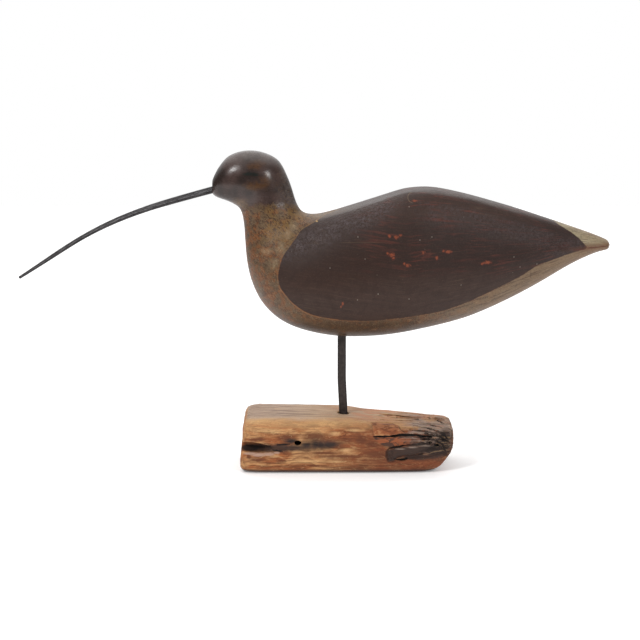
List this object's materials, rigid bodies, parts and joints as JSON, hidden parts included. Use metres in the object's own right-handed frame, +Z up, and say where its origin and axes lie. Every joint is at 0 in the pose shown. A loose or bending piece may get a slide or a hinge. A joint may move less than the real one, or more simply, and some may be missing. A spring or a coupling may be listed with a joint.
{
  "type": "shorebird decoy",
  "caption": "Carved and painted wooden curlew with a long down-curved iron bill, standing on an iron leg let into a block of weathered driftwood.",
  "frame": {"origin": "on the underside of the driftwood, straight below the foot of the leg", "axes": "+Z up, -X the way the bill points, +X towards the tail, +Y away from the side with the nail hole"},
  "size_m": [0.5412, 0.098, 0.2907],
  "materials": {
    "painted_wood": "old oil paint worn to a low sheen, chocolate brown over olive brown, chipped and scratched",
    "bill_iron": "blackened forged iron with file marks and specks of rust",
    "leg_iron": "dark forged iron bar",
    "driftwood": "bare weathered driftwood, orange brown in front, grey on top, stained and split"
  },
  "bodies": {
    "root": {"carved_body": "painted_wood", "bill": "bill_iron", "leg": "leg_iron", "driftwood_base": "driftwood"}
  },
  "joints": []
}
